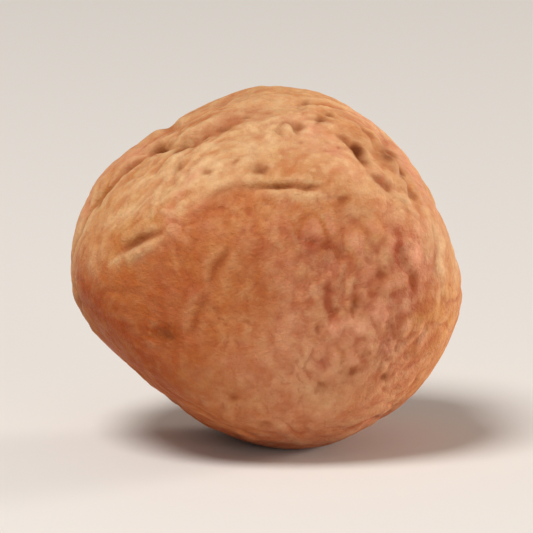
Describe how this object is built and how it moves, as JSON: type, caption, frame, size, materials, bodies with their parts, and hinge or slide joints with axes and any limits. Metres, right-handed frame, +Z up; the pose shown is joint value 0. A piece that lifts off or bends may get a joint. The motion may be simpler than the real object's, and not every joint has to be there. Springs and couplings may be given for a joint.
{
  "type": "dried apricot",
  "caption": "Small plump dried fruit with a folded, finely wrinkled skin, a seam and a stem hollow; rests on a small flat spot as food or dressing for a bowl or table.",
  "frame": {"origin": "middle of the fruit's outline seen from above, at the height of the surface that it rests on", "axes": "+Z up; +X from the fruit's tip towards its stem end; -Y out of the broad front cheek"},
  "size_m": [0.032, 0.026, 0.029],
  "materials": {
    "skin": "satin"
  },
  "bodies": {
    "root": {"apricot": "skin"}
  },
  "joints": []
}
